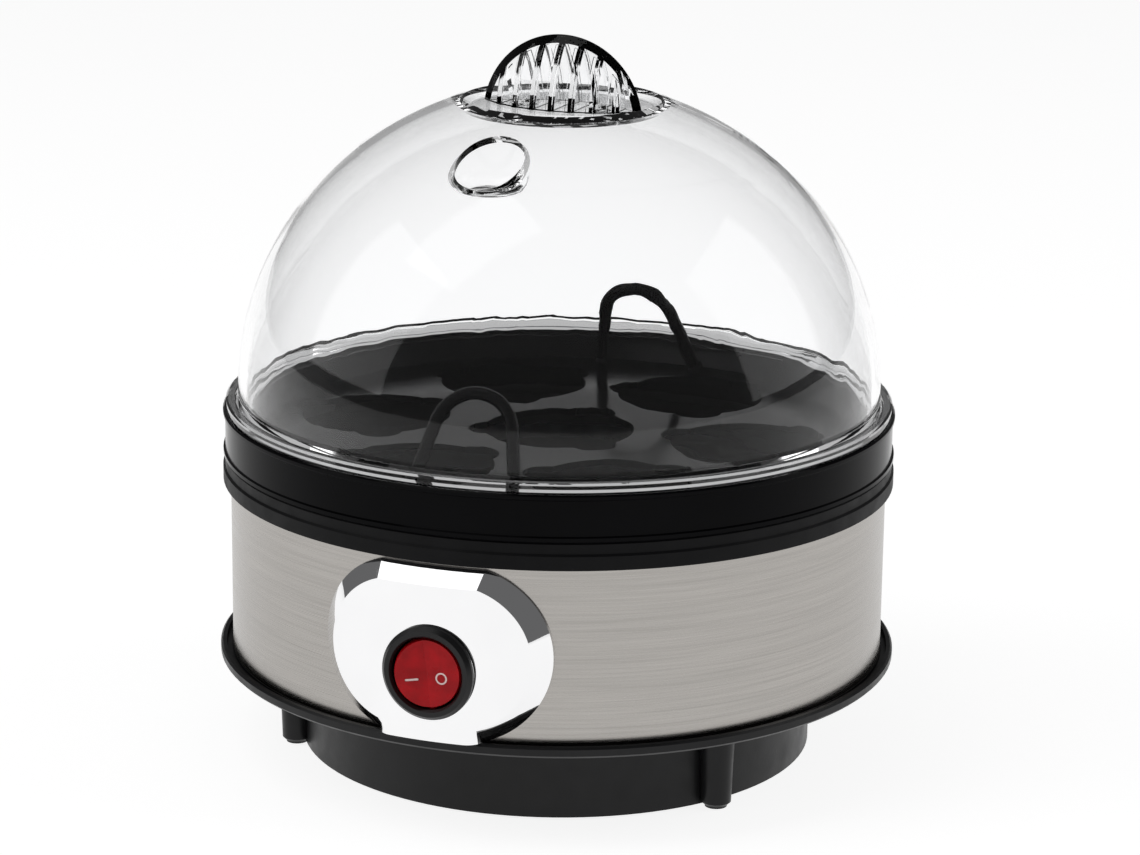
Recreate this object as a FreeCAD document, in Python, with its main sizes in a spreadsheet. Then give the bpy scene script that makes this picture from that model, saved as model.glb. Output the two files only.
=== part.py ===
"""Egg cooker: a round steam cooker for seven eggs.

The origin is on the cooker's upright axis at the surface it stands on, +Z is up, and the control
panel faces mostly towards -Y.  Lengths are millimetres and angles are degrees.
"""
import FreeCAD, Part

import math
import os
from types import SimpleNamespace

import Sketcher

from FreeCAD import Placement, Rotation, Vector

# ---------------------------------------------------------------------------------------------
# Driving dimensions
# ---------------------------------------------------------------------------------------------
SIZES = {
    # base cover: drum, flange and legs
    "drum_radius": 64.8,
    "drum_wall": 2.0,
    "drum_bottom": 0.5,
    "floor_bottom": 3.0,
    "floor_top": 5.0,
    "flange_radius": 85.6,
    "flange_bottom": 23.2,
    "flange_plate_top": 25.2,
    "flange_lip_top": 25.9,
    "locating_rib_top": 29.0,
    "leg_circle": 66.8,
    "leg_foot_radius": 3.7,
    "leg_top_radius": 4.5,
    "leg_right_azimuth": -53.9,
    "leg_left_azimuth": -170.0,
    "leg_rear_azimuth": 68.0,
    "pad_radius": 2.7,
    "pad_height": 4.0,
    # steel band and upper housing
    "band_radius": 82.5,
    "band_sheet": 0.6,
    "band_top": 68.8,
    "skirt_inner": 79.9,
    "skirt_outer": 81.6,
    "ring_radius": 84.4,
    "ring_top": 75.3,
    "ring_bore": 78.4,
    "shelf_top": 60.0,
    "shelf_bottom": 57.8,
    "shelf_bore": 60.5,
    # heating parts
    "plate_floor": 54.0,
    "plate_sheet": 0.8,
    "plate_well_radius": 57.0,
    "plate_rim_radius": 71.5,
    "seal_height": 1.0,
    "stud_circle": 68.9,
    "stud_radius": 1.9,
    "stud_azimuth": -25.0,
    "spreader_radius": 50.0,
    "spreader_height": 3.3,
    "heater_circle": 40.0,
    "heater_radius": 3.2,
    "heater_gap": 60.0,
    "shield_radius": 60.0,
    "shield_floor": 38.0,
    "shield_sheet": 0.6,
    # control panel and switch, seen from the front
    "panel_turn": -20.4,
    "panel_centre": 46.93,
    "panel_face": 87.0,
    "panel_bevel": 3.8,
    "panel_half_flat": 13.0,
    "panel_half_height": 20.98,
    "panel_half_width": 28.7,
    "panel_wall": 1.4,
    "panel_peg_spacing": 40.0,
    "switch_across": 0.9,
    "switch_height": 43.0,
    "switch_roll": -6.5,
    "bezel_radius": 11.4,
    "barrel_radius": 10.1,
    "barrel_back": 70.0,
    "rocker_pocket_radius": 8.8,
    "rocker_radius": 8.44,
    "rocker_pivot": 86.0,
    "rocker_bend": 17.0,
    "trunnion_radius": 1.2,
    # egg tray
    "tray_radius": 84.3,
    "tray_bottom": 75.4,
    "tray_top": 86.9,
    "tray_floor": 80.0,
    "tray_sheet": 1.6,
    "tray_floor_radius": 74.5,
    "tray_rim_inner": 79.6,
    "spigot_radius": 78.0,
    "spigot_bottom": 71.6,
    "egg_circle": 48.5,
    "egg_hole_radius": 19.0,
    "egg_hole_azimuth": -15.0,
    "notch_radius": 6.0,
    "notch_offset": 17.0,
    "notch_azimuth": 35.0,
    "centre_notch_azimuth": 60.0,
    # tray handles
    "handle_rod": 1.6,
    "handle_half_span": 13.5,
    "handle_height": 27.9,
    "handle_bow": 9.7,
    "handle_circle": 70.5,
    "handle_lean": 27.0,
    "handle_front_azimuth": -108.5,
    "handle_rear_azimuth": 70.3,
    # lid
    "lid_bottom": 87.0,
    "lid_flange_top": 89.4,
    "lid_flange_radius": 83.5,
    "lid_wall": 2.0,
    "dome_radius": 80.5,
    "dome_side_bow": 75.25,
    "dome_side_level": 91.0,
    "dome_crown_bow": 84.0,
    "dome_crown_level": 84.0,
    "recess_radius": 22.8,
    "recess_rim_radius": 24.8,
    "recess_floor": 162.3,
    "vent_reach": 43.1,
    "vent_azimuth": -113.1,
    "vent_radius": 8.4,
    "vent_round": 3.0,
    "vent_wall": 1.2,
    "vent_floor": 149.0,
    "vent_hole_radius": 4.9,
    "knob_radius": 21.2,
    "knob_level": 158.8,
    "knob_bulge": 9.0,
    "knob_wall": 1.8,
    "knob_azimuth": -22.0,
    "knob_rib_pitch": 4.95,
    "knob_peg_offset": 10.0,
}

doc = FreeCAD.newDocument("EggCooker")
sheet = doc.addObject("Spreadsheet::Sheet", "Sizes")
for row, (alias, number) in enumerate(SIZES.items(), start=1):
    sheet.set(f"A{row}", alias)
    sheet.set(f"B{row}", str(number))
    sheet.setAlias(f"B{row}", alias)
doc.recompute()


class Dim:
    """A length or angle with its value now and the sheet formula that drives it."""

    def __init__(self, value, formula):
        self.value = value
        self.formula = formula

    def __add__(self, other):
        other = dim(other)
        return Dim(self.value + other.value, f"({self.formula} + {other.formula})")

    def __radd__(self, other):
        return dim(other) + self

    def __sub__(self, other):
        other = dim(other)
        return Dim(self.value - other.value, f"({self.formula} - {other.formula})")

    def __rsub__(self, other):
        return dim(other) - self

    def __mul__(self, other):
        other = dim(other)
        return Dim(self.value * other.value, f"({self.formula} * {other.formula})")

    def __rmul__(self, other):
        return dim(other) * self

    def __truediv__(self, other):
        other = dim(other)
        return Dim(self.value / other.value, f"({self.formula} / {other.formula})")

    def __neg__(self):
        return Dim(-self.value, f"(-1 * {self.formula})")


def dim(number):
    """A Dim as it is, or a plain number as a constant Dim."""
    if isinstance(number, Dim):
        return number
    return Dim(float(number), f"({float(number):.6f})")


def cosine(angle):
    angle = dim(angle)
    return Dim(math.cos(math.radians(angle.value)), f"cos({angle.formula} * 1deg)")


def sine(angle):
    angle = dim(angle)
    return Dim(math.sin(math.radians(angle.value)), f"sin({angle.formula} * 1deg)")


def root(square):
    return Dim(math.sqrt(square.value), f"sqrt({square.formula})")


def around(radius, azimuth):
    """The point at this distance and azimuth from the axis, as x and y."""
    return radius * cosine(azimuth), radius * sine(azimuth)


size = SimpleNamespace(**{alias: Dim(number, f"Sizes.{alias}") for alias, number in SIZES.items()})

LEG_AZIMUTHS = {
    "right": size.leg_right_azimuth,
    "left": size.leg_left_azimuth,
    "rear": size.leg_rear_azimuth,
}
NODES = []


def node(thing, label):
    """Name an object as a finished sub-part."""
    thing.Label = label
    NODES.append(thing)
    return thing


# ---------------------------------------------------------------------------------------------
# Sketches and PartDesign features
# ---------------------------------------------------------------------------------------------
def new_body(name):
    return doc.addObject("PartDesign::Body", name)


def new_sketch(body, plane, name, offset=None):
    """A sketch on one of the body's own origin planes, moved along its normal by offset."""
    sketch = body.newObject("Sketcher::SketchObject", name)
    planes = [item for item in body.Origin.OriginFeatures if item.Role == plane]
    sketch.AttachmentSupport = [(planes[0], "")]
    sketch.MapMode = "FlatFace"
    if offset is not None:
        sketch.setExpression(".AttachmentOffset.Base.z", dim(offset).formula)
    return sketch


def fix_point(sketch, edge, end, x, y):
    """Hold a point of the sketch at x, y from its origin."""
    for kind, axis, value in (("DistanceX", -2, dim(x)), ("DistanceY", -1, dim(y))):
        if abs(value.value) < 1e-9:
            sketch.addConstraint(Sketcher.Constraint("PointOnObject", edge, end, axis))
            continue
        index = sketch.addConstraint(Sketcher.Constraint(kind, -1, 1, edge, end, value.value))
        sketch.setExpression(f"Constraints[{index}]", value.formula)


def fix_radius(sketch, edge, radius):
    index = sketch.addConstraint(Sketcher.Constraint("Radius", edge, dim(radius).value))
    sketch.setExpression(f"Constraints[{index}]", dim(radius).formula)


def arc_through(start, end, radius, counter_clockwise):
    """The shorter arc of this radius from start to end."""
    if not counter_clockwise:
        start, end = end, start
    chord = end - start
    left = Vector(-chord.y, chord.x, 0).normalize()
    reach = math.sqrt(max(radius**2 - chord.Length**2 / 4, 0))
    centre = (start + end) * 0.5 + left * reach
    angles = [math.atan2(point.y - centre.y, point.x - centre.x) for point in (start, end)]
    if angles[1] < angles[0]:
        angles[1] += 2 * math.pi
    return Part.ArcOfCircle(Part.Circle(centre, Vector(0, 0, 1), radius), *angles)


def draw_outline(sketch, corners, closed=True):
    """Draw edges through the corners.

    A corner is (x, y), or (x, y, bow) where the edge that leaves it is an arc with that radius:
    a positive bow turns counter-clockwise and a negative one clockwise.
    """
    points = [Vector(dim(corner[0]).value, dim(corner[1]).value, 0) for corner in corners]
    count = len(corners) if closed else len(corners) - 1
    ends = []
    for index in range(count):
        start, end = points[index], points[(index + 1) % len(points)]
        if len(corners[index]) == 2:
            ends.append((sketch.addGeometry(Part.LineSegment(start, end)), 1, 2))
            continue
        bow = dim(corners[index][2])
        forward = bow.value > 0
        edge = sketch.addGeometry(arc_through(start, end, abs(bow.value), forward))
        fix_radius(sketch, edge, bow if forward else -bow)
        ends.append((edge, 1, 2) if forward else (edge, 2, 1))
    for index in range(count):
        edge, first, last = ends[index]
        fix_point(sketch, edge, first, *corners[index][:2])
        if closed or index + 1 < count:
            following, next_first, _ = ends[(index + 1) % count]
            joint = Sketcher.Constraint("Coincident", edge, last, following, next_first)
            sketch.addConstraint(joint)
        else:
            fix_point(sketch, edge, last, *corners[-1][:2])


def draw_circles(sketch, circles):
    """Circles given as (x, y, radius)."""
    for x, y, radius in circles:
        centre = Vector(dim(x).value, dim(y).value, 0)
        circle = Part.Circle(centre, Vector(0, 0, 1), dim(radius).value)
        edge = sketch.addGeometry(circle)
        fix_point(sketch, edge, 3, x, y)
        fix_radius(sketch, edge, radius)


def turned_body(name, corners, plane="XZ_Plane"):
    """A body turned about the vertical axis of its profile sketch."""
    body = new_body(name)
    sketch = new_sketch(body, plane, name + "Profile")
    draw_outline(sketch, corners)
    turning = body.newObject("PartDesign::Revolution", name + "Turning")
    turning.Profile = sketch
    turning.ReferenceAxis = (sketch, ["V_Axis"])
    turning.Angle = 360
    return body


def pad_circles(body, name, circles, bottom, height):
    """Round posts that stand up from the level bottom."""
    sketch = new_sketch(body, "XY_Plane", name + "Sketch", bottom)
    draw_circles(sketch, circles)
    pad = body.newObject("PartDesign::Pad", name)
    pad.Profile = sketch
    pad.setExpression("Length", dim(height).formula)
    return pad


def pocket_circles(body, name, circles, top, depth):
    """Round holes cut downwards from the level top."""
    sketch = new_sketch(body, "XY_Plane", name + "Sketch", top)
    draw_circles(sketch, circles)
    pocket = body.newObject("PartDesign::Pocket", name)
    pocket.Profile = sketch
    pocket.setExpression("Length", dim(depth).formula)
    return pocket


def repeat_round(body, name, features, count):
    """The features again, count times in all, evenly round the upright axis."""
    pattern = body.newObject("PartDesign::PolarPattern", name)
    pattern.Originals = features
    pattern.Axis = (features[0].Profile[0], ["N_Axis"])
    pattern.Angle = 360
    pattern.Occurrences = count
    body.Tip = pattern
    return pattern


# ---------------------------------------------------------------------------------------------
# Part primitives and booleans
# ---------------------------------------------------------------------------------------------
DIRECTIONS = {
    "up": Rotation(),
    "back": Rotation(Vector(1, 0, 0), -90),
    "right": Rotation(Vector(0, 1, 0), 90),
}


def primitive(kind, name, lengths, at, direction="up"):
    """A Part primitive with its lengths and position driven by the sheet."""
    solid = doc.addObject(kind, name)
    for prop, length in lengths.items():
        solid.setExpression(prop, dim(length).formula)
    solid.Placement = Placement(Vector(), DIRECTIONS[direction])
    for letter, place in zip("xyz", at):
        solid.setExpression(f"Placement.Base.{letter}", dim(place).formula)
    return solid


def cylinder(name, radius, height, at, direction="up"):
    return primitive("Part::Cylinder", name, {"Radius": radius, "Height": height}, at, direction)


def box(name, lengths, at):
    """A box with its lowest corner at the point at."""
    return primitive("Part::Box", name, dict(zip(("Length", "Width", "Height"), lengths)), at)


def sphere(name, radius, at):
    return primitive("Part::Sphere", name, {"Radius": radius}, at)


def fuse(name, things):
    joined = doc.addObject("Part::MultiFuse", name)
    joined.Shapes = things
    return joined


def group(name, things):
    """Separate solids that share one object."""
    together = doc.addObject("Part::Compound", name)
    together.Links = things
    return together


def cut(name, base, tool):
    remaining = doc.addObject("Part::Cut", name)
    remaining.Base = base
    remaining.Tool = tool
    return remaining


def common(name, things):
    shared = doc.addObject("Part::MultiCommon", name)
    shared.Shapes = things
    return shared


# The panel is drawn facing -Y and then turned about the axis; the switch is also rolled about
# its own axis and moved to its place on the panel.
PANEL_FRAME = Placement(Vector(), Rotation(Vector(0, 0, 1), size.panel_turn.value))
SWITCH_FRAME = PANEL_FRAME * Placement(
    Vector(size.switch_across.value, 0, size.switch_height.value),
    Rotation(Vector(0, 1, 0), size.switch_roll.value),
)


def place(thing, frame):
    thing.Placement = frame
    return thing


# ---------------------------------------------------------------------------------------------
# Base cover: drum with a floor, wide flange with a lip, and three legs that hide the screws
# ---------------------------------------------------------------------------------------------
def base_cover():
    inner = size.drum_radius - size.drum_wall
    lip_inner = size.band_radius + 1.4
    drum = turned_body(
        "Drum",
        [
            (0, size.floor_bottom),
            (inner, size.floor_bottom),
            (inner, size.drum_bottom),
            (size.drum_radius, size.drum_bottom),
            (size.drum_radius, size.flange_bottom),
            (size.flange_radius - 0.6, size.flange_bottom),
            (size.flange_radius, size.flange_bottom + 0.6),
            (size.flange_radius, size.flange_lip_top - 0.5),
            (size.flange_radius - 0.5, size.flange_lip_top),
            (lip_inner + 0.2, size.flange_lip_top),
            (lip_inner, size.flange_plate_top - 0.6),
            (size.band_radius + 0.2, size.flange_plate_top - 0.6),
            (size.band_radius + 0.1, size.flange_plate_top),
            (size.skirt_outer, size.flange_plate_top),
            (size.skirt_outer, size.locating_rib_top),
            (size.skirt_inner, size.locating_rib_top),
            (size.skirt_inner, size.flange_plate_top),
            (inner, size.flange_plate_top),
            (inner, size.floor_top),
            (0, size.floor_top),
        ],
    )
    legs = []
    wells = []
    for side, azimuth in LEG_AZIMUTHS.items():
        leg = turned_body(
            f"Leg{side}",
            [
                (0, size.drum_bottom),
                (size.leg_foot_radius - 0.8, size.drum_bottom),
                (size.leg_foot_radius, size.drum_bottom + 0.8),
                (size.leg_top_radius, size.flange_bottom + 0.5),
                (0, size.flange_bottom + 0.5),
            ],
        )
        x, y = around(size.leg_circle, azimuth)
        leg.setExpression("Placement.Base.x", x.formula)
        leg.setExpression("Placement.Base.y", y.formula)
        legs.append(leg)
        wells.append(cylinder(f"ScrewWell{side}", size.pad_radius, 19.6, (x, y, -0.1)))
        wells.append(cylinder(f"ScrewHole{side}", 1.6, 30, (x, y, 0)))
    gland_hole = cylinder(
        "GlandHole", GLAND_RADIUS, 12, (0, size.drum_radius - 6, GLAND_LEVEL), "back"
    )
    solid = fuse("DrumWithLegs", [drum] + legs)
    return node(cut("BaseCover", solid, fuse("BaseHoles", wells + [gland_hole])), "base_cover")


def foot_pads():
    for side, azimuth in LEG_AZIMUTHS.items():
        x, y = around(size.leg_circle, azimuth)
        pad = cylinder(f"FootPad{side}", size.pad_radius, size.pad_height, (x, y, 0))
        node(pad, f"foot_pad_{side}")


def cover_screws():
    screws = []
    for side, azimuth in LEG_AZIMUTHS.items():
        x, y = around(size.leg_circle, azimuth)
        head = cylinder(f"ScrewHead{side}", 2.6, 2.2, (x, y, 17.3))
        shank = cylinder(f"ScrewShank{side}", 1.5, 18, (x, y, 19.5))
        screws.append(fuse(f"CoverScrew{side}", [head, shank]))
    return node(group("CoverScrews", screws), "cover_screws")


GLAND_RADIUS = 6.0
GLAND_BORE = 3.3
GLAND_LEVEL = 13.0


def cord_gland():
    """Bush in the rear wall of the drum, with a collar outside and one inside."""
    wall = size.drum_radius
    pieces = [
        cylinder("GlandBarrel", GLAND_RADIUS, 10.5, (0, wall - 6.5, GLAND_LEVEL), "back"),
        cylinder("GlandCollar", GLAND_RADIUS + 2, 3.2, (0, wall + 0.3, GLAND_LEVEL), "back"),
        cylinder("GlandClip", GLAND_RADIUS + 1.2, 1.6, (0, wall - 6.5, GLAND_LEVEL), "back"),
    ]
    bore = cylinder("GlandBore", GLAND_BORE, 14, (0, wall - 8, GLAND_LEVEL), "back")
    return node(cut("CordGland", fuse("GlandBush", pieces), bore), "cord_gland")


# ---------------------------------------------------------------------------------------------
# Steel band and upper housing
# ---------------------------------------------------------------------------------------------
def panel_passages(name):
    """What the switch and the panel's two pegs need through the wall behind the panel."""
    holes = [
        cylinder(
            f"{name}Switch",
            size.barrel_radius + 0.3,
            26,
            (size.switch_across, -90, size.switch_height),
            "back",
        )
    ]
    for side in (-1, 1):
        across = size.panel_peg_spacing * (side / 2)
        peg_hole = cylinder(f"{name}Peg", 1.7, 26, (across, -90, size.panel_centre), "back")
        holes.append(peg_hole)
    return place(group(f"{name}Passages", holes), PANEL_FRAME)


def steel_band():
    inner = size.band_radius - size.band_sheet
    sleeve = turned_body(
        "BandSleeve",
        [
            (inner, size.flange_plate_top),
            (size.band_radius, size.flange_plate_top),
            (size.band_radius, size.band_top),
            (inner, size.band_top),
        ],
    )
    return node(cut("SteelBand", sleeve, panel_passages("Band")), "steel_band")


def upper_housing():
    wall_foot = size.plate_rim_radius + 1.1
    body = turned_body(
        "Housing",
        [
            (size.ring_radius, size.band_top),
            (size.ring_radius, size.band_top + 3.4),
            (size.ring_radius - 0.5, size.band_top + 3.9),
            (size.ring_radius - 0.5, size.ring_top - 0.3),
            (size.ring_radius - 0.8, size.ring_top),
            (size.ring_bore, size.ring_top),
            (size.ring_bore, size.ring_top - 6.7),
            (wall_foot, size.ring_top - 11.3),
            (wall_foot, size.shelf_top),
            (size.shelf_bore, size.shelf_top),
            (size.shelf_bore, size.shelf_bottom),
            (wall_foot + 1.8, size.shelf_bottom),
            (wall_foot + 1.8, size.ring_top - 12.3),
            (size.skirt_inner, size.ring_top - 8.1),
            (size.skirt_inner, size.locating_rib_top + 0.4),
            (size.skirt_outer, size.locating_rib_top + 0.4),
            (size.skirt_outer, size.band_top),
        ],
    )
    boss_bottom = size.flange_plate_top + 0.1
    centres = [around(size.leg_circle, azimuth) for azimuth in LEG_AZIMUTHS.values()]
    boss_height = size.shelf_bottom - boss_bottom + 0.5
    pad_circles(body, "Bosses", [(x, y, 4) for x, y in centres], boss_bottom, boss_height)
    pocket_circles(body, "BossHoles", [(x, y, 1.5) for x, y in centres], boss_bottom + 20, 20)
    x, y = around(size.stud_circle, size.stud_azimuth)
    stud_hole = pocket_circles(
        body, "StudHole", [(x, y, size.stud_radius + 0.2)], size.shelf_top + 0.2, 3
    )
    repeat_round(body, "StudHoles", [stud_hole], 3)
    return node(cut("UpperHousing", body, panel_passages("Housing")), "upper_housing")


# ---------------------------------------------------------------------------------------------
# Heating plate, its clamping, and the heater under it
# ---------------------------------------------------------------------------------------------
def heating_plate():
    well = size.plate_well_radius
    rim_bottom = size.shelf_top + size.seal_height
    rim_top = rim_bottom + size.plate_sheet
    plate_top = size.plate_floor + size.plate_sheet
    body = turned_body(
        "Plate",
        [
            (0, size.plate_floor),
            (well, size.plate_floor),
            (well + 1.2, rim_bottom),
            (size.plate_rim_radius, rim_bottom),
            (size.plate_rim_radius, rim_top),
            (well + 0.5, rim_top),
            (well - 0.7, plate_top),
            (0, plate_top),
        ],
    )
    return node(body, "heating_plate")


def plate_seal():
    seal = turned_body(
        "Seal",
        [
            (size.shelf_bore + 0.4, size.shelf_top),
            (size.plate_rim_radius + 0.3, size.shelf_top),
            (size.plate_rim_radius + 0.3, size.shelf_top + size.seal_height),
            (size.shelf_bore + 0.4, size.shelf_top + size.seal_height),
        ],
    )
    x, y = around(size.stud_circle, size.stud_azimuth)
    hole = pocket_circles(seal, "SealHole", [(x, y, size.stud_radius)], size.shelf_top + 1.5, 3)
    repeat_round(seal, "SealHoles", [hole], 3)
    return node(seal, "plate_seal")


def stud_azimuths():
    return [size.stud_azimuth + 120 * turn for turn in range(3)]


def plate_studs():
    """Three threaded studs welded under the plate's rim."""
    top = size.shelf_top + size.seal_height
    length = 9.0
    studs = []
    for azimuth in stud_azimuths():
        x, y = around(size.stud_circle, azimuth)
        studs.append(cylinder("Stud", size.stud_radius, length, (x, y, top - length)))
    return node(group("PlateStuds", studs), "plate_studs")


def plate_nuts():
    """Hexagon nuts that clamp the plate, the seal and the heat shield to the shelf."""
    top = size.shelf_bottom - size.shield_sheet
    height = 3.0
    nuts = []
    for azimuth in stud_azimuths():
        x, y = around(size.stud_circle, azimuth)
        nut = doc.addObject("Part::Prism", "NutBlank")
        nut.Polygon = 6
        nut.Circumradius = 3.9
        nut.Height = height
        for letter, place_at in zip("xyz", (x, y, top - height)):
            nut.setExpression(f"Placement.Base.{letter}", dim(place_at).formula)
        bore = cylinder("NutBore", size.stud_radius, height + 2, (x, y, top - height - 1))
        nuts.append(cut("Nut", nut, bore))
    return node(group("PlateNuts", nuts), "plate_nuts")


def heater_ends():
    """The two places where the heater tube turns down, behind the axis."""
    turns = (size.heater_gap / 2, -size.heater_gap / 2)
    return [around(size.heater_circle, 90 + turn) for turn in turns]


def heater_level():
    return size.plate_floor - size.spreader_height


def heater_ring(name, radius):
    """The heater tube's open ring, with its gap at the back."""
    ring = primitive(
        "Part::Torus",
        name,
        {"Radius1": size.heater_circle, "Radius2": radius, "Angle3": 360 - size.heater_gap},
        (0, 0, heater_level()),
    )
    ring.Placement = Placement(Vector(), Rotation(Vector(0, 0, 1), 90 + size.heater_gap.value / 2))
    ring.setExpression("Placement.Base.z", heater_level().formula)
    return ring


def heater_tube():
    pieces = [heater_ring("HeaterRing", size.heater_radius)]
    for x, y in heater_ends():
        pieces.append(sphere("HeaterCorner", size.heater_radius, (x, y, heater_level())))
        drop = heater_level() - 41
        pieces.append(cylinder("HeaterLeg", size.heater_radius, drop, (x, y, 41)))
    return node(fuse("HeaterTube", pieces), "heater_tube")


def heater_pins():
    """Ceramic-sleeved cold pins at the two ends of the heater tube."""
    pins = []
    for x, y in heater_ends():
        sleeve = cylinder("PinSleeve", 2.6, 3, (x, y, 38))
        pin = cylinder("Pin", 1.2, 6.5, (x, y, 32))
        pins.append(fuse("ColdPin", [sleeve, pin]))
    return node(group("HeaterPins", pins), "heater_pins")


def heat_spreader():
    disc = turned_body(
        "Spreader",
        [
            (0, heater_level()),
            (size.spreader_radius - 1, heater_level()),
            (size.spreader_radius, heater_level() + 1),
            (size.spreader_radius, size.plate_floor),
            (0, size.plate_floor),
        ],
    )
    screw_holes = [(side * BRACKET_REACH, 0, 1.4) for side in (-1, 1)]
    pocket_circles(disc, "BracketHoles", screw_holes, heater_level() + 2.4, 5)
    groove = [heater_ring("HeaterGroove", size.heater_radius)]
    for x, y in heater_ends():
        groove.append(sphere("GrooveEnd", size.heater_radius, (x, y, heater_level())))
    return node(cut("HeatSpreader", disc, fuse("Groove", groove)), "heat_spreader")


BRACKET_REACH = 15


def thermostat():
    """Disc thermostat pressed against the heat spreader, with two blades."""
    top = heater_level()
    pieces = [
        cylinder("ThermostatCup", 8.0, 4, (0, 0, top - 4)),
        cylinder("ThermostatCase", 7.2, 8, (0, 0, top - 8)),
    ]
    for side in (-1, 1):
        pieces.append(box("ThermostatBlade", (3, 0.8, 7), (-1.5, side * 6 - 0.4, top - 14)))
    return node(fuse("Thermostat", pieces), "thermostat")


def thermostat_bracket():
    """Hat-shaped spring strap that holds the thermostat up against the heat spreader."""
    top = heater_level()
    strap = 0.8
    crown = top - 8
    body = new_body("Bracket")
    sketch = new_sketch(body, "XZ_Plane", "BracketProfile")
    half = [
        (19, top),
        (19, top - strap),
        (11, top - strap),
        (11, crown - strap),
    ]
    inside = [
        (10.2, crown),
        (10.2, top),
    ]
    corners = [(-x, z) for x, z in half]
    corners += half[::-1]
    corners += inside[::-1]
    corners += [(-x, z) for x, z in inside]
    draw_outline(sketch, corners)
    pad = body.newObject("PartDesign::Pad", "BracketStrap")
    pad.Profile = sketch
    pad.Length = 8
    pad.Midplane = True
    holes = [(side * BRACKET_REACH, 0, 1.4) for side in (-1, 1)]
    pocket_circles(body, "StrapHoles", holes, top + 1, 3)
    return node(body, "thermostat_bracket")


def bracket_screws():
    screws = []
    under = heater_level() - 0.8
    for side in (-1, 1):
        head = cylinder("StrapScrewHead", 2.6, 1.8, (side * BRACKET_REACH, 0, under - 1.8))
        shank = cylinder("StrapScrewShank", 1.4, 3.2, (side * BRACKET_REACH, 0, under))
        screws.append(fuse("StrapScrew", [head, shank]))
    return node(group("BracketScrews", screws), "bracket_screws")


def thermal_fuse():
    """One-shot fuse against the heat spreader, in front of the thermostat."""
    level = heater_level() - 2.1
    case = cylinder("FuseCase", 2.1, 12, (-6, -22, level), "right")
    wire = cylinder("FuseWire", 0.6, 28, (-14, -22, level), "right")
    return node(fuse("ThermalFuse", [case, wire]), "thermal_fuse")


EARTH_POINT = (-30, 20)


def heat_shield():
    """Sheet pan clamped under the shelf, between the heater and the wiring."""
    rim_top = size.shelf_bottom
    rim_bottom = rim_top - size.shield_sheet
    outer = size.shield_radius
    inner = outer - size.shield_sheet
    pan = turned_body(
        "Shield",
        [
            (0, size.shield_floor),
            (outer, size.shield_floor),
            (outer, rim_bottom),
            (size.plate_rim_radius + 1.5, rim_bottom),
            (size.plate_rim_radius + 1.5, rim_top),
            (inner, rim_top),
            (inner, size.shield_floor + size.shield_sheet),
            (0, size.shield_floor + size.shield_sheet),
        ],
    )
    pins = [(x, y, 4.5) for x, y in heater_ends()]
    pocket_circles(pan, "ShieldPinHoles", pins, size.shield_floor + 2, 4)
    pocket_circles(pan, "ShieldCentreHole", [(0, 0, 12)], size.shield_floor + 2, 4)
    pocket_circles(pan, "ShieldEarthHole", [(*EARTH_POINT, 1.5)], size.shield_floor + 2, 4)
    bosses = [(*around(size.leg_circle, azimuth), 4.3) for azimuth in LEG_AZIMUTHS.values()]
    pocket_circles(pan, "ShieldBossHoles", bosses, rim_top + 1, 3)
    x, y = around(size.stud_circle, size.stud_azimuth)
    hole = pocket_circles(pan, "ShieldStudHole", [(x, y, size.stud_radius)], rim_top + 1, 3)
    repeat_round(pan, "ShieldStudHoles", [hole], 3)
    return node(pan, "heat_shield")


def earth_screw():
    """Screw and nut that bond the earth lead to the heat shield."""
    under = size.shield_floor
    above = under + size.shield_sheet
    pieces = [
        cylinder("EarthHead", 2.8, 2, (*EARTH_POINT, under - 2)),
        cylinder("EarthShank", 1.5, 6, (*EARTH_POINT, under - 1)),
        cylinder("EarthNut", 2.9, 2.2, (*EARTH_POINT, above)),
    ]
    return node(fuse("EarthScrew", pieces), "earth_screw")


# ---------------------------------------------------------------------------------------------
# Control panel and rocker switch, drawn facing -Y
# ---------------------------------------------------------------------------------------------
PEG_START = 84.0
PANEL_BACK = 70.0


def racetrack(inset):
    """The panel's outline, made smaller by inset: flat top and bottom, and bowed ends."""
    half_flat = size.panel_half_flat - inset * 0.5
    half_height = size.panel_half_height - inset
    rise = size.panel_half_width - inset - half_flat
    bow = (half_height * half_height + rise * rise) / (2 * rise)
    low = size.panel_centre - half_height
    high = size.panel_centre + half_height
    return [(-half_flat, low), (half_flat, low, bow), (half_flat, high), (-half_flat, high, bow)]


def front_rim(shape, radius):
    """Numbers of the edges that bound a shape's round front face."""
    numbers = []
    for number, edge in enumerate(shape.Edges, start=1):
        first, last = edge.ParameterRange
        points = [edge.valueAt(at) for at in (first, (first + last) / 2, last)]
        if all(abs(math.hypot(point.x, point.y) - radius) < 1e-3 for point in points):
            numbers.append(number)
    return numbers


def panel_block(name, inset):
    """The panel's solid form, made smaller by inset: round in front, and bevelled but for its foot."""
    body = new_body(name)
    sketch = new_sketch(body, "XZ_Plane", name + "Outline", PANEL_BACK)
    draw_outline(sketch, racetrack(inset))
    sides = body.newObject("PartDesign::Pad", name + "Sides")
    sides.Profile = sketch
    sides.Length = 30
    front = size.panel_face - inset
    curved = common(name + "Curved", [body, cylinder(name + "Front", front, 60, (0, 0, 20))])
    doc.recompute()
    low = (size.panel_centre - size.panel_half_height + inset).value
    bevel = doc.addObject("Part::Chamfer", name + "Bevel")
    bevel.Base = curved
    width = size.panel_bevel.value
    bevel.Edges = [
        (number, width, width)
        for number in front_rim(curved.Shape, front.value)
        if curved.Shape.Edges[number - 1].BoundBox.ZMax > low + 1e-3
    ]
    return bevel


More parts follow.
